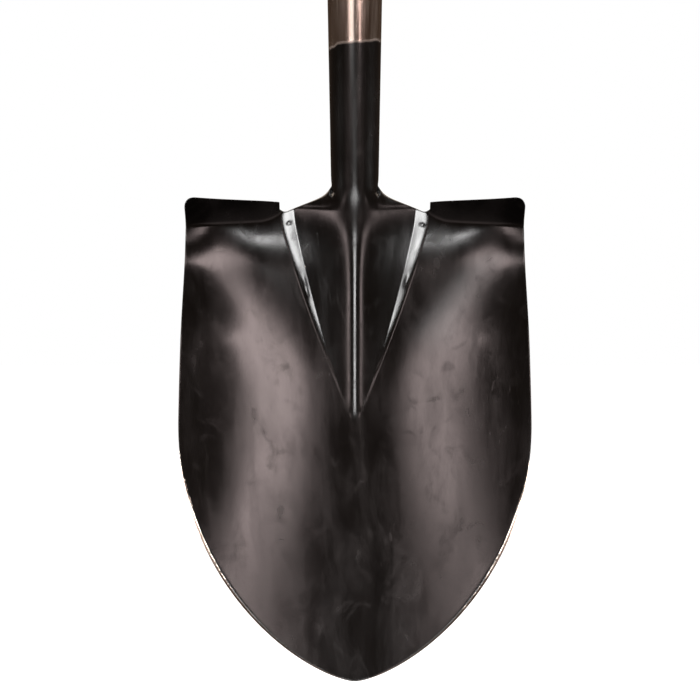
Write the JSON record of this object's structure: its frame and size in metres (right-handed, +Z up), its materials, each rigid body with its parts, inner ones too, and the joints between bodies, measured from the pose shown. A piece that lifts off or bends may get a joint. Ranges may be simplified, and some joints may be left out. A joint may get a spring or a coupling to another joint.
{
  "type": "round point shovel",
  "caption": "Round point digging shovel: dished black steel blade with forward turned steps and a rolled socket, ash shaft and a steel D grip with a turned wooden bar.",
  "frame": {"origin": "middle of the D grip's bar, on the shaft's axis", "axes": "+Z up along the shaft's axis from the blade to the grip, -Y out of the front (dirt side) of the blade, +X to the right seen from the front, along the grip bar"},
  "size_m": [0.2228, 0.0746, 1.0005],
  "materials": {
    "black_steel": "black enamel baked on pressed steel, satin gloss, worn to bare steel at the cutting edge",
    "ash": "turned ash under clear lacquer",
    "rivet_steel": "plain steel, headed cold"
  },
  "bodies": {
    "root": {"blade_with_socket": "black_steel", "shaft": "ash", "socket_rivet_lower": "rivet_steel", "socket_rivet_upper": "rivet_steel", "yoke": "black_steel", "yoke_rivet_lower": "rivet_steel", "yoke_rivet_upper": "rivet_steel", "grip_bar": "ash", "grip_rod": "rivet_steel", "grip_washer_left": "rivet_steel", "grip_washer_right": "rivet_steel"}
  },
  "joints": []
}
